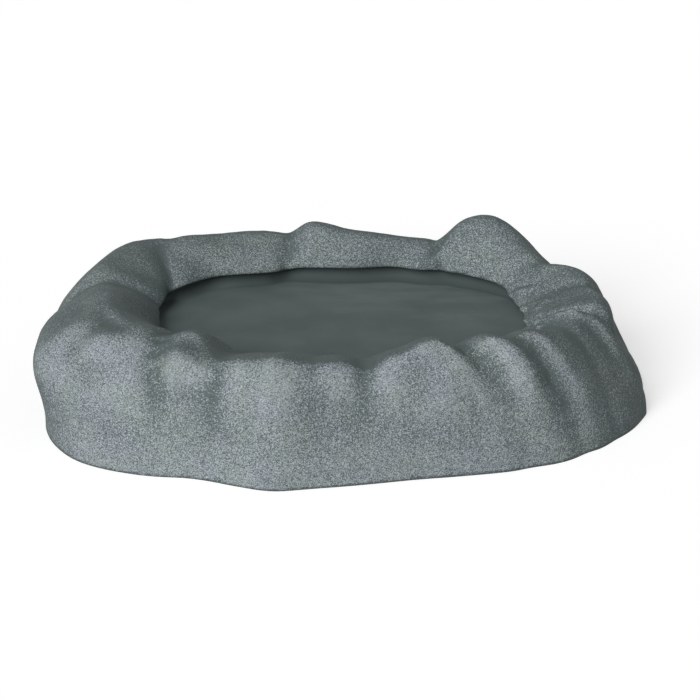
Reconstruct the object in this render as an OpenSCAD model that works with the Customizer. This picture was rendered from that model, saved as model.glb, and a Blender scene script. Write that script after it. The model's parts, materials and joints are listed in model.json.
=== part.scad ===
// Garden water basin in the form of a ring of rock: a moulded rock surround with a granite speckle,
// and a smooth dark tray that hangs inside it from screw bosses. Millimetres, +Z up, ground at z = 0.

/* [Rock surround] */
// Length of the rock's outline at the ground, left to right
rock_l = 612; // [580:1:660]
// Width of the rock's outline at the ground, front to back
rock_w = 436; // [420:1:470]
// Height of the rim's crest where no boulder lifts or lowers it
rim_h = 118; // [112:1:130]
// Thickness of the moulded shell
wall = 4; // [3:0.25:5]
// Width of the turned-in foot that the rock stands on
foot_w = 24; // [16:1:30]
// Squareness of the rock's outline, where 2 is an ellipse
rock_power = 2.4; // [2.2:0.1:2.8]
// Roundness of the crest towards the basin
shoulder_in = 16; // [10:1:24]
// Height of the gentle swells all over the rock
swell = 1.2; // [0:0.1:2]
// Length of one unit in the tables of boulders, folds and knobs
form_unit = 1; // [0.94:0.02:1.06]

/* [Basin opening] */
// Length of the opening between the rock's lips
basin_l = 364; // [340:1:380]
// Width of the opening between the rock's lips
basin_w = 236; // [220:1:250]
// How far the opening's middle lies behind the rock's middle
basin_back = 14; // [8:1:20]
// Squareness of the opening's outline, where 2 is an ellipse
basin_power = 2.8; // [2.4:0.1:3]

/* [Tray] */
// Height of the tray's floor above the ground
floor_h = 70; // [62:1:76]
// Thickness of the tray
tray_t = 3.5; // [2.5:0.25:4.5]
// Fall of the floor towards its middle
floor_fall = 4; // [0:0.5:8]
// How far the tray reaches out under the rock's lip
tray_reach = 14; // [12:0.5:17]
// How far the tray's edge stands above the rock's lip, where the rock leaves it room
tray_over = 4; // [2:0.5:5]
// Least gap between the tray's edge and the rock above it
tray_clear = 1; // [0.8:0.1:2]
// Radius between the tray's floor and its wall
tray_fillet = 8; // [5:0.5:10]
// Width of the tray's turned-out flange
flange_w = 8; // [6:0.5:10]

/* [Screws] */
// Diameter of a screw's shank
screw_d = 4; // [3:0.5:5]
// Length of a screw's shank
screw_l = 14; // [12:1:16]
// Length of a screw's point
tip_l = 3; // [2:0.5:4]
// Diameter of a screw's washer head
head_d = 10; // [8:0.5:11]
// Diameter of the flat on top of a screw's head
head_top_d = 7; // [6:0.5:7.5]
// Height of a screw's head
head_h = 3; // [2.4:0.2:4]
// Height of the straight rim of a screw's head
head_rim_h = 1.2; // [0.8:0.1:1.6]
// Length of the cross slots in a screw's head
slot_l = 5; // [4:0.2:5.6]
// Width of the cross slots in a screw's head
slot_w = 1.2; // [0.8:0.1:1.6]
// Depth of the cross slots in a screw's head
slot_depth = 1.4; // [1:0.1:2]
// Diameter of a moulded boss
boss_d = 13; // [11:0.5:14]
// Thickness of a tray lug's eye
lug_t = 5; // [4.5:0.25:6]
// How far the top of a tray lug lies below the tray's edge
lug_drop = 1; // [0.8:0.1:1.2]
// Width of a tray lug's arm, between the tray's wall and the eye
arm_w = 12; // [9:0.5:12.5]
// Thickness of a tray lug's arm
arm_t = 4; // [3:0.25:4.25]
// Least gap between a lug's eye and the tray's flange
eye_gap = 1; // [0.5:0.25:2]
// Margin of a lug's eye round its boss
lug_margin = 1.5; // [1:0.25:3]
// Clearance between a screw and its hole, on the radius
screw_clear = 0.1; // [0.1:0.05:0.3]
// Depth of a boss's hole beyond the tip of its screw
pilot_extra = 1.5; // [1:0.25:3]

/* [Hidden] */
$fn = 32;

// Boulders round the rim. Each row holds a bearing in degrees, then lengths in form units:
// foot reach beyond the outline, belly of the skirt, inset of the crest, roundness of the outer
// shoulder, rise of the crest, lip reach into the opening, height of the lip above the tray's floor.
BOULDERS = [
    [  4,  -2, -12, 50, 12, -13,   0,  9],
    [ 14,  -1,  -9, 57, 12, -11,   0,  9],
    [ 22,   0, -4, 57, 18,  -5,   2, 10],
    [ 31,   0, -3, 76, 20,  -3,   2, 15],
    [ 38,   0, -3, 74, 20,   1,   0, 19],
    [ 48,   2,  0, 54, 20,  14,   0, 20],
    [ 54,   2,  0, 48, 18,  22,   0, 21],
    [ 60,   2, -1, 50, 16,  17,   0, 22],
    [ 66,   0, -3, 56, 18,  -1,   2, 22],
    [ 74,   0,  0, 64, 20,   0,  -4, 22],
    [ 88,   0,  0, 62, 20,   8,   2, 22],
    [ 98,   2,  0, 54, 18,  13,   0, 22],
    [104,   0, -3, 52, 18,   2,  -4, 21],
    [112,   2,  0, 52, 20,   3,   4, 20],
    [122,   4,  0, 52, 20,   0,   4, 20],
    [130,   6, -3, 48, 18,   4,   0, 20],
    [140,  10,  2, 46, 20,   2,   2, 20],
    [156,   4,  3, 52, 24,  -1,  -2, 18],
    [171,  -6, 10, 60, 34,  -5,  -2, 11],
    [188, -11, 22, 66, 38,   0,   0,  9],
    [200,  -5, 23, 66, 34,   0,   0,  9],
    [212,   2,  7, 70, 32,  -1,   2,  9],
    [222,   6,  0, 80, 34,   0,  10, 12],
    [233,  -1, -2, 78, 34,   0,   8, 14],
    [243, -11, -3, 45, 18,  -9,   0, 14],
    [250,  -5, -2, 46, 18,  -9,   0, 14],
    [258,   2, -1, 48, 18,  -8,   0, 14],
    [268,  -7, -4, 44, 16, -10,   0, 14],
    [276, -15, -3, 36, 14, -15,   0, 13],
    [284, -22,  0, 36, 14,  -3,   2, 12],
    [291, -24,  2, 42, 16,   5,   4, 12],
    [297, -24, -1, 36, 14,  -3,   2, 12],
    [304, -22,  1, 46, 16,   2,   2, 12],
    [314, -20, -2, 52, 16,  -1,   2, 10],
    [325, -18,  0, 56, 16,  -8,   2,  9],
    [336, -12, -2, 62, 14, -13,   2,  9],
    [347,  -5,  0, 72, 14, -15,   0,  9],
    [356,  -2, -10, 56, 12, -15,   0,  9]
];

// Folds between boulders, and ridges where the depths are negative. Each row holds the bearing at the
// foot, the crest and the lip, the half width in degrees, then the depth at the foot, crest and lip.
FOLDS = [
    [357, 351, 349,  6,  3, 15,  1],
    [349, 342, 341,  6, -2, -9,  0],
    [331, 331, 336, 10,  2,  6,  2],
    [324, 316, 320,  5, -1, -3,  0],
    [321, 309, 311,  6,  3,  9,  3],
    [314, 303, 303,  5, -1, -5,  0],
    [307, 297, 296,  5,  3, 11,  3],
    [280, 280, 280,  5,  0, -4,  0],
    [272, 275, 275,  5,  0,  7,  2],
    [264, 264, 264,  8,  1,  3,  0],
    [258, 257, 257,  7, -2, -6,  0],
    [247, 244, 242,  6,  1,  6,  3],
    [238, 235, 235,  5, -1, -4,  0],
    [240, 226, 222,  7,  2, 12,  6],
    [172, 168, 168,  8,  2,  7,  5],
    [130, 131, 152,  9,  2,  5,  8],
    [103, 103, 108,  5,  2,  5,  6],
    [ 65,  65,  61,  4,  2, 10, 11],
    [ 33,  31,  34,  6,  3,  6,  4],
    [ 12,  13,  13,  5,  4,  5,  0]
];

// Knobs on the rock, and dents where the height is negative. Each row holds the bearing, the place
// along the section from the foot at 0 to the lip at 1, the half size in each, then the height.
KNOBS = [
    [204, 0.42,  9, 0.12,  7],
    [216, 0.42,  9, 0.12, 10],
    [208, 0.56, 14, 0.10, -6],
    [347, 0.42,  8, 0.22,  6],
    [309, 0.45,  7, 0.30,  4],
    [237, 0.42,  9, 0.12, 10],
    [234, 0.56,  9, 0.10, -4],
    [ 52, 0.74, 10, 0.20,  4],
    [ 97, 0.76,  7, 0.20,  4]
];

// Bearings of the screws, each under the top of a boulder
SCREWS = [23, 54, 96, 120, 157, 190, 216, 254, 306, 341];

// Stations round the rock and the tray, and steps along the rock's section
stations = 160;
skirt_steps = 12;
slope_steps = 8;
steps = skirt_steps + slope_steps;
half_skirt = skirt_steps / 2;
crest_share = skirt_steps / steps;
tray_stations = 90;
fillet_steps = 3;
// Where the ring of points on the tray's floor lies, from its middle at 0 to its edge at 1
floor_mid = 0.55;

// Shares of a section's height and run that shape its curves
skirt_rise = 0.5;
belly_foot = 0.06;
belly_rise = 0.7;
lip_lean = 0.12;
lip_rise_at = 0.5;
lip_round = 0.4;
// Swells round the rock, how far they slant along the section, and where they are full above the foot
broad_swells = 6;
narrow_swells = 11;
swell_slant = 150;
swell_foot = 0.25;

tray_edge = tray_reach + tray_t + flange_w;
lug_d = boss_d + 2 * lug_margin;
hole_d = screw_d + 2 * screw_clear;
boss_sink = wall / 2;
boss_spread = atan2(boss_d / 2, rock_w / 2);
edge_spread = 360 / tray_stations;
tip_d = screw_d / 5;
// Overshoot of a cut beyond the face that it opens
eps = 1;

function mix(a, b, t) = a + (b - a) * t;
function ease(t) = t * t * (3 - 2 * t);
function unit(v) = v / norm(v);
function total(list) = list * [for (v = list) 1];
function turn(a) = a - 360 * floor(a / 360);
// The shorter way round from bearing b to bearing a
function apart(a, b) = turn(a - b + 180) - 180;

// Point on a rounded-square outline at a bearing
function oval(a, l, w, power) =
    let (k = pow(pow(abs(cos(a)), power) + pow(abs(sin(a)), power), -1 / power))
    [k * cos(a) * l / 2, k * sin(a) * w / 2];

// Smooth closed curve through the rows of a table that is ordered by bearing
function row_of(rows, i) = rows[i - len(rows) * floor(i / len(rows))];
function row_bearing(rows, i) = row_of(rows, i)[0] + 360 * floor(i / len(rows));
function round_curve(rows, bearing) =
    let (
        a = turn(bearing),
        i = len([for (row = rows) if (row[0] <= a) 1]) - 1,
        x = [for (k = [-1:2]) row_bearing(rows, i + k)],
        y = [for (k = [-1:2]) row_of(rows, i + k)],
        step = x[2] - x[1],
        t = (a - x[1]) / step,
        slope1 = (y[2] - y[0]) * step / (x[2] - x[0]),
        slope2 = (y[3] - y[1]) * step / (x[3] - x[1])
    )
    mix(y[1], y[2], ease(t)) + slope1 * t * (1 - t) * (1 - t) - slope2 * t * t * (1 - t);

// A boulder's row at any bearing, with its lengths in millimetres
function boulder_at(a) = form_unit * round_curve(BOULDERS, a);
function foot_point(a, boulder) =
    let (p = oval(a, rock_l, rock_w, rock_power))
    p + unit(p) * boulder[1];
function lip_point(a, boulder) =
    let (p = oval(a, basin_l, basin_w, basin_power))
    [0, basin_back] + p - unit(p) * boulder[6];

// Where a place on the section lies between foot and crest, and between crest and lip
function up(u) = min(1, u / crest_share);
function down(u) = max(0, (u - crest_share) / (1 - crest_share));

// How deep the folds cut at a bearing, where u runs from the foot at 0 to the lip at 1
function fold_depth(row, u) = mix(mix(row[4], row[5], ease(up(u))), row[6], ease(down(u)));
function fold_cut(row, a, u) =
    let (
        line = row[0] + apart(row[1], row[0]) * up(u) + apart(row[2], row[1]) * down(u),
        t = 1 - min(1, abs(apart(a, line)) / row[3])
    )
    fold_depth(row, u) * t * t;
function folds_cut(a, u) = form_unit * total([for (row = FOLDS) fold_cut(row, a, u)]);
// How high the knobs and the gentle swells stand
function knob_height(row, a, u) =
    let (t = 1 - min(1, norm([apart(a, row[0]) / row[2], (u - row[1]) / row[3]])))
    row[4] * ease(t);
function knobs_height(a, u) = form_unit * total([for (row = KNOBS) knob_height(row, a, u)]);
function swell_at(a, u) =
    let (
        broad = sin(broad_swells * a + swell_slant * u),
        narrow = sin(narrow_swells * a - 2 * swell_slant * u)
    )
    swell * min(1, u / swell_foot) * broad * narrow;
// How far the belly of a skirt stands out
function belly_height(b, u) = b[2] * pow(sin(180 * max(0, min(1, (up(u) - belly_foot) / belly_rise))), 2);

function bezier(p, t) =
    pow(1 - t, 3) * p[0] + 3 * t * pow(1 - t, 2) * p[1] + 3 * t * t * (1 - t) * p[2] + pow(t, 3) * p[3];
function bezier_way(p, t) =
    unit(pow(1 - t, 2) * (p[1] - p[0]) + 2 * t * (1 - t) * (p[2] - p[1]) + t * t * (p[3] - p[2]));

// A section's curves, foot to crest and crest to lip, and its row of values: x runs in from the foot
function curves(a) =
    let (
        b = boulder_at(a),
        inset = b[3],
        h = rim_h + b[5],
        lip_h = floor_h + b[7],
        span = norm(foot_point(a, b) - lip_point(a, b)),
        lean = span - lip_lean * (span - inset)
    )
    [
        [[0, 0], [0, skirt_rise * h], [inset - b[4], h], [inset, h]],
        [[inset, h], [inset + shoulder_in, h], [lean, mix(lip_h, h, lip_rise_at)], [span, lip_h]],
        b
    ];
function along(c, u) = u <= crest_share ? bezier(c[0], up(u)) : bezier(c[1], down(u));
function way(c, u) = u <= crest_share ? bezier_way(c[0], up(u)) : bezier_way(c[1], down(u));
function outward(c, u) =
    let (w = way(c, u))
    u == 0 ? [-1, 0] : [-w[1], w[0]];

// The shell's outer skin, or the same skin sunk by a depth
function skin(c, a, u, depth) =
    let (relief = belly_height(c[2], u) + swell_at(a, u) + knobs_height(a, u) - folds_cut(a, u))
    along(c, u) + outward(c, u) * (relief - depth);

function section(c, a) =
    let (
        outside = [for (i = [0:steps]) skin(c, a, i / steps, 0)],
        inside = [for (i = [steps:-2:2]) skin(c, a, i / steps, wall)],
        edge = (outside[steps] + inside[0]) / 2 + way(c, 1) * lip_round * wall,
        foot = outside[0][0]
    )
    concat(outside, [edge], inside, [[foot + wall, wall], [foot + foot_w, wall], [foot + foot_w, 0]]);

// A section's point set in its place round the rock, given how far in it lies and its height
function placed(a, p) =
    let (
        b = boulder_at(a),
        foot = foot_point(a, b),
        at = foot + unit(lip_point(a, b) - foot) * p[0]
    )
    [at[0], at[1], p[1]];

// Faces of a skin over rings that close on themselves, each ring closed as well
function ring_faces(rings, size) = [
    for (j = [0:rings - 1], i = [0:size - 1])
        let (
            k = (j + 1) % rings,
            n = (i + 1) % size
        )
        each [
            [j * size + i, k * size + n, k * size + i],
            [j * size + i, j * size + n, k * size + n]
        ]
];

module rock_shell() {
    rings = [
        for (j = [0:stations - 1])
            let (a = 360 * j / stations, c = curves(a))
            [for (p = section(c, a)) placed(a, p)]
    ];
    polyhedron([for (ring = rings) each ring], ring_faces(stations, len(rings[0])), convexity = 8);
}

// How far in the lip of the rock lies
function lip_in(a) = skin(curves(a), a, 1, 0)[0];
// Lowest height of the rock's underside over the tray's wall and flange
function rock_over(a) =
    let (
        c = curves(a),
        under = [for (i = [skirt_steps:steps]) skin(c, a, i / steps, wall)]
    )
    min([for (out = [tray_reach, (tray_reach + tray_edge) / 2, tray_edge]) lookup(lip_in(a) - out, under)]);
// The height of the tray's edge: behind the lip, and clear of the rock above it
function tray_top(a) = min(
    skin(curves(a), a, 1, 0)[1] + tray_over,
    min([for (share = [-1:0.5:1]) rock_over(a + share * edge_spread)]) - tray_clear
);

// A point of the tray, given how far it lies outside the lip and its height
function tray_point(a, out, z) = placed(a, [lip_in(a) - out, z]);
// The same point drawn in towards the basin's middle
function drawn_in(p, share, z) = [p[0] * share, mix(basin_back, p[1], share), z];

// Height of a lug's top, where a boss stands on it
function lug_top(a) = tray_top(a) - lug_drop;
// The screws' places: under the crest, or further out where the tray's flange needs the room
function screw_in(a) =
    min(skin(curves(a), a, crest_share, 0)[0], lip_in(a) - tray_edge - eye_gap - lug_d / 2);
function screw_xy(a) =
    let (p = placed(a, [screw_in(a), 0]))
    [p[0], p[1]];
// Height of the rock's outer skin over a place on the section
function rock_top(a, x) =
    let (c = curves(a))
    lookup(x, [for (i = [half_skirt:steps]) skin(c, a, i / steps, 0)]);
// The top of a boss, in the wall where the skin over it is lowest, so that it never breaks through
function boss_top(a) =
    min([
        for (da = [-boss_spread, 0, boss_spread], dx = [-boss_d / 2, 0, boss_d / 2])
            rock_top(a + da, screw_in(a) + dx)
    ]) - boss_sink;

module tray_shell() {
    floor_out = tray_reach - tray_fillet;
    turns = [for (i = [0:fillet_steps]) 90 * i / fillet_steps];
    dip = floor_fall * (1 - floor_mid * floor_mid);
    rings = [
        for (j = [0:tray_stations - 1])
            let (
                a = 360 * j / tray_stations,
                top = tray_top(a),
                r = tray_fillet + tray_t,
                edge = tray_point(a, floor_out, floor_h)
            )
            concat(
                [drawn_in(edge, floor_mid, floor_h - dip)],
                [
                    for (q = turns)
                        tray_point(a, floor_out + tray_fillet * sin(q), floor_h + tray_fillet * (1 - cos(q)))
                ],
                [
                    tray_point(a, tray_reach, top),
                    tray_point(a, tray_edge, top),
                    tray_point(a, tray_edge, top - tray_t),
                    tray_point(a, tray_reach + tray_t, top - tray_t)
                ],
                [
                    for (i = [fillet_steps:-1:0])
                        let (q = turns[i])
                        tray_point(a, floor_out + r * sin(q), floor_h + tray_fillet - r * cos(q))
                ],
                [drawn_in(edge, floor_mid, floor_h - tray_t - dip)]
            )
    ];
    size = len(rings[0]);
    top_mid = tray_stations * size;
    polyhedron(
        concat(
            [for (ring = rings) each ring],
            [[0, basin_back, floor_h - floor_fall], [0, basin_back, floor_h - floor_fall - tray_t]]
        ),
        [
            for (j = [0:tray_stations - 1])
                let (k = (j + 1) % tray_stations)
                each concat(
                    [
                        for (i = [0:size - 2])
                            each [
                                [j * size + i, k * size + i, k * size + i + 1],
                                [j * size + i, k * size + i + 1, j * size + i + 1]
                            ]
                    ],
                    [
                        [top_mid, k * size, j * size],
                        [top_mid + 1, j * size + size - 1, k * size + size - 1]
                    ]
                )
        ],
        convexity = 6
    );
}

module lugs() {
    for (a = SCREWS) {
        root = tray_point(a, tray_reach + tray_t / 2, 0);
        end = screw_xy(a);
        run = [end[0] - root[0], end[1] - root[1]];
        translate([end[0], end[1], lug_top(a) - lug_t]) {
            cylinder(d = lug_d, h = lug_t);
            rotate([0, 0, atan2(-run[1], -run[0])]) translate([0, -arm_w / 2, (lug_t - arm_t) / 2])
                cube([norm(run), arm_w, arm_t]);
        }
    }
}

module basin_tray() {
    color("#4b5554") difference() {
        union() {
            tray_shell();
            lugs();
        }
        for (a = SCREWS) {
            translate(concat(screw_xy(a), [lug_top(a) - lug_t - eps]))
                cylinder(d = hole_d, h = lug_t + 2 * eps);
        }
    }
}

module bosses() {
    for (a = SCREWS) {
        translate(concat(screw_xy(a), [lug_top(a)]))
            cylinder(d = boss_d, h = boss_top(a) - lug_top(a));
    }
}

module rock_surround() {
    color("#70787a") difference() {
        union() {
            rock_shell();
            bosses();
        }
        for (a = SCREWS) {
            translate(concat(screw_xy(a), [lug_top(a) - eps]))
                cylinder(d = hole_d, h = screw_l - lug_t + pilot_extra + eps);
        }
    }
}

// A pan-head screw that points up, with the underside of its head at z = 0
module tray_screw() {
    difference() {
        union() {
            translate([0, 0, -head_h]) cylinder(d1 = head_top_d, d2 = head_d, h = head_h - head_rim_h);
            translate([0, 0, -head_rim_h]) cylinder(d = head_d, h = head_rim_h);
            cylinder(d = screw_d, h = screw_l - tip_l);
            translate([0, 0, screw_l - tip_l]) cylinder(d1 = screw_d, d2 = tip_d, h = tip_l);
        }
        for (q = [0, 90]) {
            rotate([0, 0, q]) translate([-slot_l / 2, -slot_w / 2, -head_h - eps])
                cube([slot_l, slot_w, slot_depth + eps]);
        }
    }
}

module tray_screws() {
    color("#b4b8ba") for (a = SCREWS) {
        translate(concat(screw_xy(a), [lug_top(a) - lug_t])) tray_screw();
    }
}

rock_surround();
basin_tray();
tray_screws();
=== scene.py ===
"""Looks of a garden water basin: a ring of granite-speckled rock round a smooth, dark tray.

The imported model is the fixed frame. Each sub-assembly takes its place and its form from a node of that
frame, refines it with a geometry tree and dresses it in a procedural finish. All lengths are in metres.
"""

from __future__ import annotations

import json
import logging
import math
from dataclasses import dataclass, field
from enum import Enum
from typing import Any, Mapping, Sequence, Union

import bmesh
import bpy
from mathutils import Matrix, Vector

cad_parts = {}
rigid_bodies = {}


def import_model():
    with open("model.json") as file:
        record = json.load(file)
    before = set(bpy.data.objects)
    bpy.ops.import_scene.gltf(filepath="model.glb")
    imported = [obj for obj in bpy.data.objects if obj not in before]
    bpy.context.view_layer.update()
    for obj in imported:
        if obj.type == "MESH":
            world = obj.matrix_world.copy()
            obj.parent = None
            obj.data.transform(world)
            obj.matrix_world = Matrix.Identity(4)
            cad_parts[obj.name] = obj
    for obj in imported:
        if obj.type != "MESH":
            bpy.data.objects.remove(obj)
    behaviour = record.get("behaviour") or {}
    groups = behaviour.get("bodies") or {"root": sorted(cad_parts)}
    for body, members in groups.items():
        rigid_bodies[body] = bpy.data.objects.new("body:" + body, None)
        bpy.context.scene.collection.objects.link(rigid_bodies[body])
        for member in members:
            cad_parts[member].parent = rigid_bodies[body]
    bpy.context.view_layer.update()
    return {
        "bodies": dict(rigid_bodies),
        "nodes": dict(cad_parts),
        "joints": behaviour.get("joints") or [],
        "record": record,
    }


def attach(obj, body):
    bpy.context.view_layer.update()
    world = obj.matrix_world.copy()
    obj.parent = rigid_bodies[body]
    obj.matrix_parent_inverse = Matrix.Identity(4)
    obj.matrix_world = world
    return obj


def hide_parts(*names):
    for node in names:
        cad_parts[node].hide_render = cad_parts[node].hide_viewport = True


LOG = logging.getLogger("rock_basin")
BODY = "root"
MM = 0.001
WELD = 0.005 * MM

Colour = tuple[float, float, float]
Point = tuple[float, float, float]
Key = Union[int, str]
Ring = list[bmesh.types.BMVert]


class Slot(Enum):
    """Material slots of the record."""

    ROCK = "rock"
    TRAY = "tray"
    SCREWS = "screws"


class Mark(Enum):
    """Names of the values that a geometry tree leaves on a mesh for its finish to read."""

    HOLLOW = "hollow"
    # How far a face turns to the side the coat is sprayed from, which is the key light's side: a real heavier
    # coat that also paints the light's fall.
    SPRAY_AND_LIGHT = "spray"
    # Painted shade on the tray's sides under the lip.
    WALL = "wall"


class Signal:
    """A node's output that takes part in Python expressions on values."""

    def __init__(self, graph: NodeGraph, socket: bpy.types.NodeSocket) -> None:
        """Wraps one output socket of a node in a graph."""
        self.graph = graph
        self.socket = socket

    def other(self, key: Key) -> Signal:
        """Another output of the same node."""
        return Signal(self.graph, self.socket.node.outputs[key])

    def math(self, operation: str, *operands: Operand) -> Signal:
        """A Math node on this value and the operands."""
        return self.graph.math(operation, self, *operands)

    def __add__(self, other: Operand) -> Signal:
        """self + other."""
        return self.math("ADD", other)

    def __radd__(self, other: Operand) -> Signal:
        """other + self."""
        return self.graph.math("ADD", other, self)

    def __sub__(self, other: Operand) -> Signal:
        """self - other."""
        return self.math("SUBTRACT", other)

    def __rsub__(self, other: Operand) -> Signal:
        """other - self."""
        return self.graph.math("SUBTRACT", other, self)

    def __mul__(self, other: Operand) -> Signal:
        """self * other."""
        return self.math("MULTIPLY", other)

    def __rmul__(self, other: Operand) -> Signal:
        """other * self."""
        return self.graph.math("MULTIPLY", other, self)

    def __truediv__(self, other: Operand) -> Signal:
        """self / other."""
        return self.math("DIVIDE", other)

    def __rtruediv__(self, other: Operand) -> Signal:
        """other / self."""
        return self.graph.math("DIVIDE", other, self)

    def __neg__(self) -> Signal:
        """-self."""
        return self.math("MULTIPLY", -1.0)

    def __lt__(self, other: Operand) -> Signal:
        """1 where self is below other, and 0 elsewhere."""
        return self.math("LESS_THAN", other)

    def __gt__(self, other: Operand) -> Signal:
        """1 where self is above other, and 0 elsewhere."""
        return self.math("GREATER_THAN", other)

    def largest(self, other: Operand) -> Signal:
        """The larger of two values."""
        return self.math("MAXIMUM", other)

    def clamped(self) -> Signal:
        """The value held between 0 and 1."""
        return self.graph.add("ShaderNodeClamp", {}, {"Value": self})

    def step(self, low: float, high: float) -> Signal:
        """A smooth rise from 0 at low to 1 at high.

        Args:
            low: Value at which the rise starts.
            high: Value at which the rise ends, which may be the lower one.

        Returns:
            The risen value, between 0 and 1.
        """
        return self.graph.add(
            "ShaderNodeMapRange",
            {"interpolation_type": "SMOOTHSTEP"},
            {"Value": self, "From Min": low, "From Max": high},
        )


Operand = Union[Signal, float]


class NodeGraph:
    """A node tree that is written as expressions."""

    def __init__(self, tree: bpy.types.NodeTree) -> None:
        """Takes the tree that the nodes go into."""
        self.tree = tree

    def add(
        self,
        kind: str,
        settings: Mapping[str, Any] | None = None,
        inputs: Mapping[Key, Any] | None = None,
        output: Key = 0,
    ) -> Signal:
        """Adds any node.

        Args:
            kind: The node's type.
            settings: The node's own settings, which are set first.
            inputs: Values or signals for its sockets.
            output: The output that the signal stands for.

        Returns:
            The chosen output as a signal.
        """
        node = self.tree.nodes.new(kind)
        for name, value in (settings or {}).items():
            setattr(node, name, value)
        for key, value in (inputs or {}).items():
            self._feed(node.inputs[key], value)
        return Signal(self, node.outputs[output])

    def math(self, operation: str, *operands: Operand) -> Signal:
        """A Math node on values."""
        return self.add("ShaderNodeMath", {"operation": operation}, dict(enumerate(operands)))

    def vector(self, operation: str, *operands: Signal | Point, output: Key = 0) -> Signal:
        """A Vector Math node on vectors."""
        return self.add("ShaderNodeVectorMath", {"operation": operation}, dict(enumerate(operands)), output)

    def scaled(self, vector: Signal, size: Operand) -> Signal:
        """A vector times a number."""
        return self.add("ShaderNodeVectorMath", {"operation": "SCALE"}, {0: vector, "Scale": size})

    def dot(self, a: Signal | Point, b: Signal | Point) -> Signal:
        """The dot product of two vectors."""
        return self.vector("DOT_PRODUCT", a, b, output="Value")

    def part(self, vector: Signal, axis: str) -> Signal:
        """One part of a vector, by its axis."""
        return self.add("ShaderNodeSeparateXYZ", {}, {0: vector}, axis)

    def blend(self, share: Operand, a: Signal | Colour, b: Signal | Colour) -> Signal:
        """A colour between a and b.

        Args:
            share: How much of b the colour has.
            a: First colour.
            b: Second colour.

        Returns:
            The mixed colour.
        """
        return self.add("ShaderNodeMix", {"data_type": "RGBA"}, {0: share, 6: a, 7: b}, 2)

    def noise(self, coords: Signal, size: Operand, detail: float = 2.0, roughness: float = 0.5) -> Signal:
        """Soft noise between 0 and 1.

        Args:
            coords: Coordinates in metres.
            size: Size of the largest patches.
            detail: Octaves of finer noise.
            roughness: Strength of each finer octave.

        Returns:
            The noise's value.
        """
        return self.add(
            "ShaderNodeTexNoise",
            {},
            {"Vector": coords, "Scale": 1 / size, "Detail": detail, "Roughness": roughness},
        )

    def _feed(self, socket: bpy.types.NodeSocket, value: Any) -> None:
        """Links a signal to a socket, or sets the socket's value."""
        if isinstance(value, Signal):
            self.tree.links.new(value.socket, socket)
        elif socket.type == "RGBA":
            socket.default_value = (*value, 1.0)
        else:
            socket.default_value = value


class Shader(NodeGraph):
    """The node tree of one material, around one Principled shader."""

    def __init__(self, name: str) -> None:
        """Starts a material with an empty tree and a Principled shader."""
        self.material = bpy.data.materials.new(name)
        self.material.use_nodes = True
        super().__init__(self.material.node_tree)
        self.tree.nodes.clear()
        self.surface = self.add("ShaderNodeBsdfPrincipled").socket.node
        self.output = self.tree.nodes.new("ShaderNodeOutputMaterial")
        self.tree.links.new(self.surface.outputs[0], self.output.inputs["Surface"])

    def coords(self) -> Signal:
        """Object coordinates, which are the frame's own metres."""
        return self.add("ShaderNodeTexCoord", output="Object")

    def mark(self, mark: Mark) -> Signal:
        """A value that the geometry tree left on the mesh."""
        return self.add("ShaderNodeAttribute", {"attribute_name": mark.value}, output="Fac")

    def set(self, sockets: Mapping[str, Any]) -> None:
        """Feeds the Principled shader's sockets, by their names."""
        for name, value in sockets.items():
            self._feed(self.surface.inputs[name], value)

    def bump(self, height: Signal, distance: float, strength: float = 1.0) -> None:
        """Roughens the surface's normal with a height field."""
        normal = self.add(
            "ShaderNodeBump", {}, {"Strength": strength, "Distance": distance, "Height": height}
        )
        self._feed(self.surface.inputs["Normal"], normal)


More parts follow.
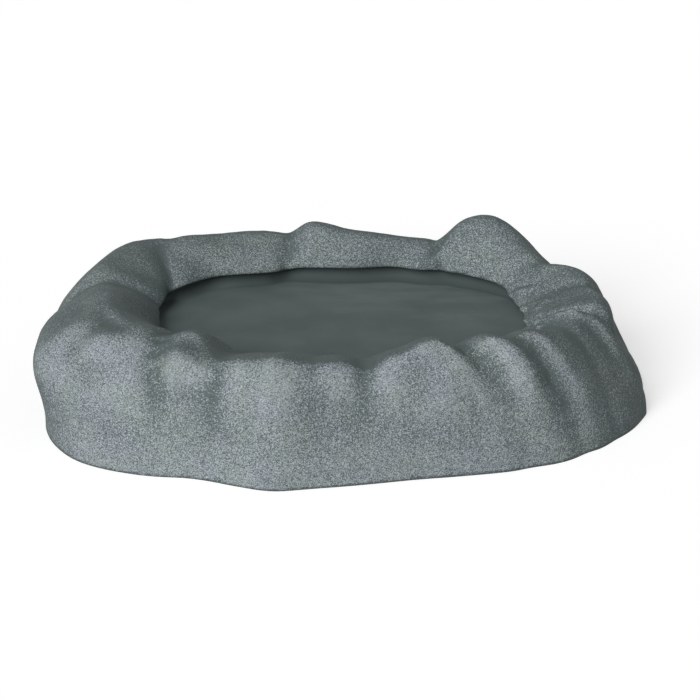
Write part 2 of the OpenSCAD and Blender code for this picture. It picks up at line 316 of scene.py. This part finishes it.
class GeometryRecipe(NodeGraph):
    """A geometry tree with named inputs for its sizes, which turns a source mesh into a finished one."""

    def __init__(self, name: str) -> None:
        """Starts a tree with a mesh in and a mesh out."""
        super().__init__(bpy.data.node_groups.new(name, "GeometryNodeTree"))
        self.tree.interface.new_socket("Mesh", in_out="INPUT", socket_type="NodeSocketGeometry")
        self.tree.interface.new_socket("Mesh", in_out="OUTPUT", socket_type="NodeSocketGeometry")
        self.start = self.tree.nodes.new("NodeGroupInput")
        self.end = self.tree.nodes.new("NodeGroupOutput")
        self.values: dict[str, float | int] = {}

    @property
    def mesh(self) -> Signal:
        """The mesh that comes in."""
        return Signal(self, self.start.outputs["Mesh"])

    def size(self, name: str, value: float | int) -> Signal:
        """A named input.

        Args:
            name: The input's name.
            value: Its value: a whole number makes a count, any other number a size.

        Returns:
            The input as a signal.
        """
        kind = "NodeSocketInt" if isinstance(value, int) else "NodeSocketFloat"
        socket = self.tree.interface.new_socket(name, in_out="INPUT", socket_type=kind)
        self.values[socket.identifier] = value
        return Signal(self, self.start.outputs[name])

    def place(self) -> Signal:
        """Where each point lies."""
        return self.add("GeometryNodeInputPosition")

    def normal(self) -> Signal:
        """The way that the surface faces at each point."""
        return self.add("GeometryNodeInputNormal")

    def outward(self) -> Signal:
        """How far the surface faces away from the upright axis: 1 straight out, -1 straight in."""
        flat = self.vector("MULTIPLY", self.place(), (1, 1, 0))
        return self.dot(self.vector("NORMALIZE", flat), self.normal())

    def blurred(self, value: Signal, kind: str, reach: Signal) -> Signal:
        """A field that is averaged over neighbouring points.

        Args:
            value: The field.
            kind: Its data type.
            reach: How many edges the blur spreads over.

        Returns:
            The blurred field.
        """
        return self.add(
            "GeometryNodeBlurAttribute", {"data_type": kind}, {"Value": value, "Iterations": reach}
        )

    def smoothed(self, levels: Signal, crease_angle: Signal) -> Signal:
        """The mesh that comes in, subdivided, with its sharp edges kept."""
        sharp = self.add("GeometryNodeInputMeshEdgeAngle") > crease_angle
        return self.add(
            "GeometryNodeSubdivisionSurface",
            {},
            {"Mesh": self.mesh, "Level": levels, "Edge Crease": sharp},
        )

    def moved(self, mesh: Signal, height: Signal) -> Signal:
        """A mesh whose surface is moved out along its normals."""
        offset = self.scaled(self.normal(), height)
        return self.add("GeometryNodeSetPosition", {}, {"Geometry": mesh, "Offset": offset})

    def marked(self, mesh: Signal, mark: Mark, value: Signal) -> Signal:
        """A mesh that keeps a value at each point for its finish to read."""
        return self.add(
            "GeometryNodeStoreNamedAttribute",
            {"data_type": "FLOAT", "domain": "POINT"},
            {"Geometry": mesh, "Name": mark.value, "Value": value},
        )

    def finish(self, mesh: Signal, material: bpy.types.Material) -> None:
        """Ends the tree: instances become real, shading is smooth and the material is set."""
        real = self.add("GeometryNodeRealizeInstances", {}, {"Geometry": mesh})
        smooth = self.add("GeometryNodeSetShadeSmooth", {}, {"Geometry": real})
        dressed = self.add("GeometryNodeSetMaterial", {}, {"Geometry": smooth, "Material": material})
        self._feed(self.end.inputs["Mesh"], dressed)

    def make(self, source: bpy.types.Mesh, name: str, kept: float = 1.0) -> bpy.types.Object:
        """Runs the tree on a mesh.

        Args:
            source: The mesh that goes in, which is used up.
            name: Name of the finished object.
            kept: Share of the triangles that stay when the finished mesh is thinned.

        Returns:
            A plain mesh object at the origin, with no modifier.
        """
        carrier = bpy.data.objects.new(name + "_source", source)
        bpy.context.scene.collection.objects.link(carrier)
        modifier = carrier.modifiers.new(self.tree.name, "NODES")
        modifier.node_group = self.tree
        for identifier, value in self.values.items():
            modifier[identifier] = value
        if kept < 1.0:
            carrier.modifiers.new("Thinned", "DECIMATE").ratio = kept
        depsgraph = bpy.context.evaluated_depsgraph_get()
        mesh = bpy.data.meshes.new_from_object(
            carrier.evaluated_get(depsgraph), preserve_all_data_layers=True, depsgraph=depsgraph
        )
        bpy.data.objects.remove(carrier)
        bpy.data.meshes.remove(source)
        self._trim(mesh)
        mesh.name = name
        piece = bpy.data.objects.new(name, mesh)
        bpy.context.scene.collection.objects.link(piece)
        return piece

    @staticmethod
    def _trim(mesh: bpy.types.Mesh) -> None:
        """Takes away stray faces that hang on one edge, which thinning can leave."""
        grid = bmesh.new()
        grid.from_mesh(mesh)
        stray = [face for face in grid.faces if sum(edge.is_boundary for edge in face.edges) > 1]
        if stray:
            bmesh.ops.delete(grid, geom=stray, context="FACES")
            grid.to_mesh(mesh)
        grid.free()


@dataclass(frozen=True)
class GraniteResin:
    """Moulded resin under a coat of light and dark granite grains, whose density also paints light and shade:
    heavier on the side the key light comes from, painted highlights on near ridges and painted shade in
    folds.
    """

    base: Colour = (0.078, 0.101, 0.099)
    deep: Colour = (0.048, 0.063, 0.062)
    cool_grain: Colour = (0.41, 0.45, 0.50)
    warm_grain: Colour = (0.40, 0.45, 0.45)
    grain: float = 0.8 * MM
    fine_grain: float = 0.5 * MM
    patch: float = 40 * MM
    bare_share: float = 0.15
    # Coat on faces turned to the sprayed side, which is also the lit side: partly painted light.
    sprayed_and_lit_share: float = 0.41
    back_share: float = 0.5
    cloud_share: float = 0.45
    # Painted shade in folds, with a thinner coat there: fewer light grains in hollows.
    hollow_thin_coat_and_shade: float = 0.27
    # Painted highlight: extra light grains on ridges of the upper, near front.
    crest_highlight_share: float = 0.34
    crest_highlight_from: float = 30 * MM
    crest_highlight_full: float = 80 * MM
    near_reach: float = 60 * MM
    foot_share: float = 0.28
    foot_reach: float = 60 * MM
    spray_edge: float = 0.2
    dark_share: float = 0.24
    dark_cover: float = 0.75
    dark_depth: float = 0.7
    fine_share: float = 0.5
    faintest: float = 0.4
    sharpness: float = 4.0
    grain_height: float = 0.25 * MM
    grain_relief: float = 0.6
    ground_relief: float = 0.8
    roughness: float = 0.8
    grain_gloss: float = 0.12
    specular: float = 0.3

    def material(self) -> bpy.types.Material:
        """Builds the finish.

        Returns:
            The material, which reads the marks that the rock's geometry tree leaves.
        """
        shader = Shader("granite_resin")
        coords = shader.coords()
        density = self._density(shader, coords)
        coarse = self._cells(shader, coords, self.grain)
        fine = self._cells(shader, coords, self.fine_grain)
        dark = shader.part(fine, "Z") < self.dark_share
        large = self._grains(shader, coarse, density)
        small = self._grains(shader, fine, density * self.fine_share)
        light = large.largest(small) * (1.0 - dark * self.dark_cover)
        tint = shader.noise(coords, self.patch).step(0.35, 0.65)
        ground = shader.blend(dark * self.dark_depth, self.base, self.deep)
        grains = shader.blend(tint, self.cool_grain, self.warm_grain)
        shader.set(
            {
                "Base Color": shader.blend(light, ground, grains),
                "Roughness": self.roughness - self.grain_gloss * light,
                "Specular IOR Level": self.specular,
            }
        )
        relief = light * self.grain_relief + shader.noise(coords, self.fine_grain) * self.ground_relief
        shader.bump(relief, self.grain_height)
        return shader.material

    def _cells(self, shader: Shader, coords: Signal, size: float) -> Signal:
        """A random colour for each grain."""
        jitter = shader.noise(coords, size, 1.0).other("Color")
        place = shader.vector("ADD", coords, shader.scaled(jitter, size))
        return shader.add("ShaderNodeTexVoronoi", {}, {"Vector": place, "Scale": 1 / size}, "Color")

    def _grains(self, shader: Shader, cells: Signal, density: Signal) -> Signal:
        """How light each grain is, where a share of the cells that follows the density is light."""
        chance = shader.part(cells, "X")
        strength = shader.part(cells, "Y") * (1 - self.faintest) + self.faintest
        return ((density - chance) * self.sharpness).clamped() * strength

    def _density(self, shader: Shader, coords: Signal) -> Signal:
        """Share of light grains: more on the sprayed side, which is the key light's side, so that the coat
        also paints light there and shade on the tops; more on ridges as a painted highlight; more near the
        foot; and fewer in hollows, a thinner coat there that also paints shade.
        """
        cloud = shader.noise(coords, self.patch, 3.0) - 0.5
        depth = shader.mark(Mark.HOLLOW)
        key_and_spray_facing = shader.mark(Mark.SPRAY_AND_LIGHT)
        height = shader.part(coords, "Z")
        shoulder = height.step(self.crest_highlight_from, self.crest_highlight_full)
        near_side = shader.part(coords, "Y").step(self.near_reach, -self.near_reach)
        # Painted highlight: extra light grains on ridges of the upper, near front.
        crest_highlight = (-depth).clamped() * shoulder * near_side
        foot = height.step(self.foot_reach, 0.0)
        # Painted light together with the real coat: more grains on faces turned to the sprayed, lit side.
        front = key_and_spray_facing.step(self.spray_edge, 1.0)
        back = (-key_and_spray_facing).step(self.spray_edge, 1.0) * self.back_share
        coat = self.sprayed_and_lit_share + crest_highlight * front * self.crest_highlight_share + foot * self.foot_share
        share = self.bare_share + front.largest(back) * coat
        # Painted shade in folds, with a thinner coat there: fewer light grains in hollows.
        return (share + cloud * self.cloud_share - depth.clamped() * self.hollow_thin_coat_and_shade).clamped()


@dataclass(frozen=True)
class DarkResin:
    """Smooth, dark, matt resin with faint mottling, dry smears and painted shade on the tray's sides under
    the lip.
    """

    base: Colour = (0.104, 0.131, 0.128)
    smear: Colour = (0.150, 0.180, 0.176)
    shade: Colour = (0.088, 0.112, 0.109)
    # Darker colour of the tray's sides: painted shade under the lip.
    wall: Colour = (0.050, 0.066, 0.064)
    mottle: float = 60 * MM
    smear_length: float = 90 * MM
    smear_stretch: Point = (0.35, 1.0, 1.0)
    smear_turn: Point = (0.0, 0.0, 0.15)
    smear_cover: float = 0.6
    pebble: float = 4 * MM
    pebble_height: float = 0.05 * MM
    roughness: float = 0.75
    specular: float = 0.1

    def material(self) -> bpy.types.Material:
        """Builds the finish.

        Returns:
            The material.
        """
        shader = Shader("dark_resin")
        coords = shader.coords()
        drawn = shader.add(
            "ShaderNodeMapping",
            {},
            {"Vector": coords, "Scale": self.smear_stretch, "Rotation": self.smear_turn},
        )
        mottle = shader.noise(coords, self.mottle, 4.0).step(0.3, 0.7)
        wall_shade_share = shader.mark(Mark.WALL).clamped()
        streaks = shader.noise(drawn, self.smear_length, 6.0, 0.65).step(0.52, 0.72)
        smear = streaks * (1.0 - wall_shade_share)
        floor = shader.blend(mottle, self.shade, self.base)
        # Painted shade: the tray's sides take the darker colour where the geometry tree marked them.
        plain = shader.blend(wall_shade_share, floor, self.wall)
        shader.set(
            {
                "Base Color": shader.blend(smear * self.smear_cover, plain, self.smear),
                "Roughness": self.roughness + smear * 0.1 - mottle * 0.06,
                "Specular IOR Level": self.specular,
            }
        )
        shader.bump(shader.noise(coords, self.pebble, 3.0) + mottle, self.pebble_height)
        return shader.material


@dataclass(frozen=True)
class ScrewSteel:
    """Plain stainless steel with fine turning marks."""

    base: Colour = (0.55, 0.56, 0.57)
    worn: Colour = (0.40, 0.41, 0.42)
    patch: float = 2 * MM
    roughness: float = 0.32

    def material(self) -> bpy.types.Material:
        """Builds the finish.

        Returns:
            The material.
        """
        shader = Shader("screw_steel")
        coords = shader.coords()
        patch = shader.noise(coords, self.patch, 3.0)
        shader.set(
            {
                "Base Color": shader.blend(patch, self.base, self.worn),
                "Metallic": 1.0,
                "Roughness": self.roughness + patch * 0.15,
            }
        )
        shader.bump(shader.noise(coords, 0.4 * MM), 0.02 * MM)
        return shader.material


def welded_copy(node: bpy.types.Object) -> bpy.types.Mesh:
    """A copy of a frame node's mesh with its corners joined and its triangles paired to four-sided faces.

    Args:
        node: The node's object, which stays as it is.

    Returns:
        The welded mesh.
    """
    grid = bmesh.new()
    grid.from_mesh(node.data)
    bmesh.ops.remove_doubles(grid, verts=grid.verts, dist=WELD)
    bmesh.ops.join_triangles(
        grid,
        faces=grid.faces,
        angle_face_threshold=math.radians(40),
        angle_shape_threshold=math.radians(50),
    )
    mesh = bpy.data.meshes.new(node.name + "_welded")
    grid.to_mesh(mesh)
    grid.free()
    return mesh


@dataclass
class SubAssembly:
    """A visible piece that stands for one node of the frame."""

    frame: Mapping[str, Any]
    node: str
    slot: Slot

    @property
    def source(self) -> bpy.types.Object:
        """The frame's own object."""
        return self.frame["nodes"][self.node]

    def seat(self, piece: bpy.types.Object) -> bpy.types.Object:
        """Puts a finished piece in the node's stead.

        Args:
            piece: The finished piece.

        Returns:
            The same piece.
        """
        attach(piece, BODY)
        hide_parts(self.node)
        LOG.info("%s: %d faces", piece.name, len(piece.data.polygons))
        return piece


@dataclass
class RockSurround(SubAssembly):
    """The moulded ring of rock: the frame's shell, smoothed, with a modelled relief on its outer skin."""

    node: str = "rock_surround"
    slot: Slot = Slot.ROCK
    finish: GraniteResin = field(default_factory=GraniteResin)
    levels: int = 2
    kept: float = 0.78
    crease_angle: float = math.radians(75)
    lump: float = 34 * MM
    lump_height: float = 1.6 * MM
    dimple: float = 11 * MM
    dimple_height: float = 0.7 * MM
    nub: float = 16 * MM
    nub_height: float = 4 * MM
    nubs_from: float = 100 * MM
    nubs_fade: float = 40 * MM
    lip_from: float = 74 * MM
    lip_to: float = 100 * MM
    lip_rise: float = 4 * MM
    lip_fall: float = 8 * MM
    foot_clear: float = 1 * MM
    foot_fade: float = 10 * MM
    hollow_reach: int = 40
    hollow_depth: float = 1.1 * MM
    # Where the grain coat is sprayed from, close to the key light: besides the real coat, it paints light on
    # the front and left and shade on the tops and the right end.
    spray_and_key_light_from: Point = (-0.22, -0.91, 0.40)

    def build(self) -> bpy.types.Object:
        """Makes the rock.

        Returns:
            The finished piece, seated.
        """
        recipe = GeometryRecipe("rock_relief")
        levels = recipe.size("Levels", self.levels)
        crease = recipe.size("Crease angle", self.crease_angle)
        smooth = recipe.smoothed(levels, crease)
        relief = self._relief(recipe) * self._outer_skin(recipe)
        nubs = self._nubs(recipe) * self._lip(recipe)
        rough = recipe.moved(smooth, relief + nubs)
        # The hollow mark drives painted shade in folds and a painted highlight on ridges.
        hollows = recipe.marked(rough, Mark.HOLLOW, self._hollow(recipe))
        # The sprayed mark, turned towards the key light, also paints light and shade into the coat.
        sprayed = recipe.marked(hollows, Mark.SPRAY_AND_LIGHT, recipe.dot(recipe.normal(), self.spray_and_key_light_from))
        recipe.finish(sprayed, self.finish.material())
        return self.seat(recipe.make(welded_copy(self.source), "rock_shell", self.kept))

    def _relief(self, recipe: GeometryRecipe) -> Signal:
        """Height of the lumps and dimples."""
        place = recipe.place()
        lump = recipe.size("Lump size", self.lump)
        lump_height = recipe.size("Lump height", self.lump_height)
        dimple = recipe.size("Dimple size", self.dimple)
        dimple_height = recipe.size("Dimple height", self.dimple_height)
        lumps = (recipe.noise(place, lump, 1.0) - 0.5) * lump_height
        dimples = (recipe.noise(place, dimple, 2.0) - 0.5) * dimple_height
        return lumps + dimples

    def _nubs(self, recipe: GeometryRecipe) -> Signal:
        """Height of the nubs, which lie at the right end."""
        place = recipe.place()
        nub = recipe.size("Nub size", self.nub)
        nub_height = recipe.size("Nub height", self.nub_height)
        at_right = recipe.part(place, "X").step(self.nubs_from, self.nubs_from + self.nubs_fade)
        return recipe.noise(place, nub, 0.0).step(0.45, 0.75) * nub_height * at_right

    def _lip(self, recipe: GeometryRecipe) -> Signal:
        """1 on the lip over the tray, and 0 elsewhere."""
        facing_in = recipe.outward().step(-0.2, -0.6)
        not_down = recipe.part(recipe.normal(), "Z").step(-0.2, 0.0)
        height = recipe.part(recipe.place(), "Z")
        above = height.step(self.lip_from, self.lip_from + self.lip_rise)
        below = height.step(self.lip_to, self.lip_to - self.lip_fall)
        return facing_in * not_down * above * below

    def _outer_skin(self, recipe: GeometryRecipe) -> Signal:
        """1 on the outer skin above the foot, and 0 on the foot and inside the shell."""
        facing_up = recipe.part(recipe.normal(), "Z")
        height = recipe.part(recipe.place(), "Z")
        above_foot = height.step(self.foot_clear, self.foot_clear + self.foot_fade)
        return recipe.outward().largest(facing_up).step(0.0, 0.3) * above_foot

    def _hollow(self, recipe: GeometryRecipe) -> Signal:
        """How deep a point lies in a hollow: positive in folds, negative on ridges."""
        place = recipe.place()
        reach = recipe.size("Hollow reach", self.hollow_reach)
        around = recipe.blurred(place, "FLOAT_VECTOR", reach)
        depth = recipe.dot(recipe.vector("SUBTRACT", around, place), recipe.normal())
        return depth / self.hollow_depth


@dataclass
class BasinTray(SubAssembly):
    """The smooth tray that hangs inside the rock."""

    node: str = "basin_tray"
    slot: Slot = Slot.TRAY
    finish: DarkResin = field(default_factory=DarkResin)
    levels: int = 2
    crease_angle: float = math.radians(55)
    wave: float = 70 * MM
    wave_height: float = 0.5 * MM
    # Sizes of the painted shade on the tray's sides: it eases on the upright part right under the lip and
    # fades out towards the left end, where the lip's real shadow falls; the easing paints light against that
    # shadow.
    wall_shade_reach: int = 1
    wall_shade_from: float = -170 * MM
    wall_shade_full: float = -90 * MM
    under_lip_painted_light: float = 0.2
    wall_shade_slope: tuple[float, float] = (0.004, 0.05)
    upright_slope: tuple[float, float] = (0.5, 1.0)

    def build(self) -> bpy.types.Object:
        """Makes the tray.

        Returns:
            The finished piece, seated.
        """
        recipe = GeometryRecipe("tray_surface")
        levels = recipe.size("Levels", self.levels)
        crease = recipe.size("Crease angle", self.crease_angle)
        wave = recipe.size("Wave length", self.wave)
        wave_height = recipe.size("Wave height", self.wave_height)
        smooth = recipe.smoothed(levels, crease)
        facing_up = recipe.part(recipe.normal(), "Z").step(0.6, 0.9)
        waves = (recipe.noise(recipe.place(), wave, 1.0) - 0.5) * wave_height * facing_up
        # Marks the tray's sides for painted shade.
        with_wall_shade = recipe.marked(recipe.moved(smooth, waves), Mark.WALL, self._wall_shade(recipe))
        recipe.finish(with_wall_shade, self.finish.material())
        return self.seat(recipe.make(welded_copy(self.source), "tray"))

    def _wall_shade(self, recipe: GeometryRecipe) -> Signal:
        """Where the tray's sides get painted shade, as under the lip: 1 on the sloping side and 0 on the
        floor, less on the upright part right under the lip, where the lip's real shadow falls, fading out
        towards the left end, which the lip also shades.
        """
        steep = 1.0 - recipe.part(recipe.normal(), "Z")
        along = recipe.part(recipe.place(), "X")
        reach = recipe.size("Wall reach", self.wall_shade_reach)
        wall = steep.step(*self.wall_shade_slope) - steep.step(*self.upright_slope) * self.under_lip_painted_light
        return recipe.blurred(wall * along.step(self.wall_shade_from, self.wall_shade_full), "FLOAT", reach)


@dataclass
class TrayScrews(SubAssembly):
    """The pan-head screws under the tray's lugs, one for each screw of the frame."""

    node: str = "tray_screws"
    slot: Slot = Slot.SCREWS
    finish: ScrewSteel = field(default_factory=ScrewSteel)
    shank_d: float = 4 * MM
    shank_l: float = 14 * MM
    tip_l: float = 3 * MM
    head_d: float = 10 * MM
    head_h: float = 3 * MM
    head_edge: float = 0.1 * MM
    rim_share: float = 0.35
    recess_d: float = 4 * MM
    recess_depth: float = 1.5 * MM
    pitch: float = 1.4 * MM
    thread_depth: float = 0.35 * MM
    rows_per_turn: int = 6
    tip_share: float = 0.02
    sides: int = 24
    seed: int = 7

    def build(self) -> bpy.types.Object:
        """Makes the screws.

        Returns:
            The finished piece, seated.
        """
        steel = self.finish.material()
        pattern = self._pattern(steel)
        recipe = GeometryRecipe("screw_set")
        seed = recipe.size("Seed", self.seed)
        screw = recipe.add("GeometryNodeObjectInfo", {}, {"Object": pattern}, "Geometry")
        spin = recipe.add(
            "FunctionNodeRandomValue",
            {"data_type": "FLOAT_VECTOR"},
            {"Min": (0, 0, 0), "Max": (0, 0, math.tau), "Seed": seed},
        )
        placed = recipe.add(
            "GeometryNodeInstanceOnPoints", {}, {"Points": recipe.mesh, "Instance": screw, "Rotation": spin}
        )
        recipe.finish(placed, steel)
        piece = recipe.make(self._seats(), "screws")
        bpy.data.objects.remove(pattern)
        return self.seat(piece)

    def _seats(self) -> bpy.types.Mesh:
        """A mesh of loose points, one under each head's seat.

        Returns:
            The points, from the frame's own screws.
        """
        grid = bmesh.new()
        grid.from_mesh(self.source.data)
        bmesh.ops.remove_doubles(grid, verts=grid.verts, dist=WELD)
        seats: list[Vector] = []
        left = set(grid.verts)
        while left:
            island = self._island(left.pop())
            left -= island
            low = Vector(min(v.co[k] for v in island) for k in range(3))
            high = Vector(max(v.co[k] for v in island) for k in range(3))
            seats.append(Vector(((low.x + high.x) / 2, (low.y + high.y) / 2, low.z + self.head_h)))
        grid.free()
        seats.sort(key=lambda seat: math.atan2(seat.y, seat.x))
        mesh = bpy.data.meshes.new("screw_seats")
        mesh.from_pydata(seats, [], [])
        return mesh

    @staticmethod
    def _island(first: bmesh.types.BMVert) -> set[bmesh.types.BMVert]:
        """All the corners that are joined to one corner."""
        found = {first}
        edge = [first]
        while edge:
            corner = edge.pop()
            fresh = {link.other_vert(corner) for link in corner.link_edges} - found
            found |= fresh
            edge.extend(fresh)
        return found

    def _pattern(self, steel: bpy.types.Material) -> bpy.types.Object:
        """One screw that points up, with its seat at the origin.

        Args:
            steel: Its material.

        Returns:
            An object that is only instanced.
        """
        grid = bmesh.new()
        seat = self._lathe(grid, self._head_profile())
        self._thread(grid, seat)
        bmesh.ops.recalc_face_normals(grid, faces=grid.faces)
        mesh = bpy.data.meshes.new("screw_pattern")
        mesh.materials.append(steel)
        grid.to_mesh(mesh)
        grid.free()
        return bpy.data.objects.new("screw_pattern", mesh)

    def _head_profile(self) -> list[tuple[float, float]]:
        """Radius and height along the head, from the middle of its recess out to its seat."""
        recess_r = self.recess_d / 2
        recess_z = self.recess_depth - self.head_h
        dome = [
            (self.head_d / 2 * math.sin(turn), self._dome_height(turn))
            for turn in (math.radians(angle) for angle in (28, 40, 52, 64, 76, 90))
        ]
        return [
            (0.0, recess_z),
            (recess_r * 0.6, recess_z),
            (recess_r, -self.head_h * 0.95),
            *dome,
            (self.head_d / 2, -self.head_edge),
            (self.head_d / 2 - self.head_edge, 0.0),
        ]

    def _dome_height(self, turn: float) -> float:
        """Height of the head's dome, by the angle from the screw's axis."""
        return -self.head_h * (self.rim_share + (1 - self.rim_share) * math.cos(turn))

    def _lathe(self, grid: bmesh.types.BMesh, profile: Sequence[tuple[float, float]]) -> Ring:
        """Turns a profile, which starts on the screw's axis, and gives its last ring."""
        rings = [
            [grid.verts.new((r * math.cos(q), r * math.sin(q), z)) for q in self._turns()] for r, z in profile
        ]
        self._skin(grid, rings)
        bmesh.ops.remove_doubles(grid, verts=rings[0], dist=1e-7)
        return rings[-1]

    def _thread(self, grid: bmesh.types.BMesh, seat: Ring) -> None:
        """Winds the thread up the shank, from the head's seat to the point."""
        rows = int(self.shank_l / self.pitch * self.rows_per_turn)
        rings = [seat]
        for row in range(rows + 1):
            z = self.shank_l * row / rows
            taper = min(1.0, max(self.tip_share, (self.shank_l - z) / self.tip_l))
            ring = []
            for q in self._turns():
                wave = abs((z / self.pitch - q / math.tau) % 1.0 * 2 - 1)
                r = (self.shank_d / 2 - self.thread_depth * (1 - wave)) * taper
                ring.append(grid.verts.new((r * math.cos(q), r * math.sin(q), z)))
            rings.append(ring)
        self._skin(grid, rings)
        grid.faces.new(rings[-1])

    def _turns(self) -> list[float]:
        """Angles of the points round the screw."""
        return [math.tau * k / self.sides for k in range(self.sides)]

    def _skin(self, grid: bmesh.types.BMesh, rings: Sequence[Ring]) -> None:
        """Joins rings of points with faces."""
        for low, high in zip(rings, rings[1:]):
            for k in range(self.sides):
                n = (k + 1) % self.sides
                grid.faces.new((low[k], low[n], high[n], high[k]))


@dataclass
class Studio:
    """White floor, white surround, soft light from the front left, and the camera."""

    floor_size: float = 40.0
    floor_bounce: float = 0.8
    floor_tone: float = 0.6
    floor_glow: float = 0.56
    ambient: float = 0.24
    key_from: Point = (-0.42, -0.76, 0.50)
    key_spread: float = math.radians(32)
    key_strength: float = 3.1
    target: Point = (0.0, 0.0, 55 * MM)
    distance: float = 2.2
    elevation: float = math.radians(22)
    lens: float = 113.14
    sensor: float = 36.0
    shift: tuple[float, float] = (0.0100, -0.0051)

    def build(self) -> None:
        """Makes the floor, the surround, the light and the camera."""
        self._floor()
        self._surround()
        self._key_light()
        self._camera()
        bpy.context.scene.view_settings.view_transform = "Standard"

    @staticmethod
    def _seen(graph: NodeGraph) -> Signal:
        """1 for rays that show the background itself: from the camera, in gloss and through glass."""
        path = graph.add("ShaderNodeLightPath", output="Is Camera Ray")
        return path.largest(path.other("Is Glossy Ray")).largest(path.other("Is Transmission Ray"))

    def _floor(self) -> None:
        """A pale floor that keeps the shadow and reads as white."""
        mesh = bpy.data.meshes.new("floor")
        half = self.floor_size / 2
        corners = [(-half, -half, 0), (half, -half, 0), (half, half, 0), (-half, half, 0)]
        mesh.from_pydata(corners, [], [(0, 1, 2, 3)])
        floor = bpy.data.objects.new("floor", mesh)
        bpy.context.scene.collection.objects.link(floor)
        shader = Shader("floor_white")
        seen = self._seen(shader)
        tone = shader.blend(seen, (self.floor_bounce,) * 3, (self.floor_tone,) * 3)
        white = shader.blend(seen, (0.0,) * 3, (self.floor_glow,) * 3)
        shader.set(
            {
                "Base Color": tone,
                "Roughness": 1.0,
                "Specular IOR Level": 0.0,
                "Emission Color": white,
                "Emission Strength": 1.0,
            }
        )
        mesh.materials.append(shader.material)

    def _surround(self) -> None:
        """A surround that reads as white and lights the object softly."""
        world = bpy.data.worlds.new("surround")
        world.use_nodes = True
        graph = NodeGraph(world.node_tree)
        graph.tree.nodes.clear()
        strength = self.ambient + self._seen(graph) * (1 - self.ambient)
        light = graph.add("ShaderNodeBackground", {}, {"Color": (1, 1, 1), "Strength": strength})
        output = graph.tree.nodes.new("ShaderNodeOutputWorld")
        graph.tree.links.new(light.socket, output.inputs["Surface"])
        bpy.context.scene.world = world

    def _key_light(self) -> None:
        """A soft light from the front left."""
        lamp = bpy.data.lights.new("key", "SUN")
        lamp.angle = self.key_spread
        lamp.energy = self.key_strength
        key = bpy.data.objects.new("key", lamp)
        key.matrix_world = self._aimed(Vector(self.target) + Vector(self.key_from))
        bpy.context.scene.collection.objects.link(key)

    def _camera(self) -> None:
        """The camera at the photograph's viewing angle."""
        lens = bpy.data.cameras.new("camera")
        lens.sensor_width = self.sensor
        lens.lens = self.lens
        lens.shift_x, lens.shift_y = self.shift
        camera = bpy.data.objects.new("camera", lens)
        back = Vector((0.0, -math.cos(self.elevation), math.sin(self.elevation)))
        camera.matrix_world = self._aimed(Vector(self.target) + back * self.distance)
        bpy.context.scene.collection.objects.link(camera)
        bpy.context.scene.camera = camera

    def _aimed(self, place: Vector) -> Matrix:
        """Where something stands that looks at the target.

        Args:
            place: Where it stands.

        Returns:
            Its matrix, with its own -Z towards the target.
        """
        look = Vector(self.target) - place
        return Matrix.Translation(place) @ look.to_track_quat("-Z", "Y").to_matrix().to_4x4()


def plain(box: tuple[Vector, Vector]) -> list[list[float]]:
    """A box as plain lists of numbers."""
    return [[float(value) for value in corner] for corner in box]


def main() -> None:
    """Builds the pieces and the studio."""
    logging.basicConfig(level=logging.INFO, format="%(name)s: %(message)s")
    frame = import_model()
    for assembly in (RockSurround, BasinTray, TrayScrews):
        assembly(frame).build()
    Studio().build()


if __name__ == "__main__":
    main()
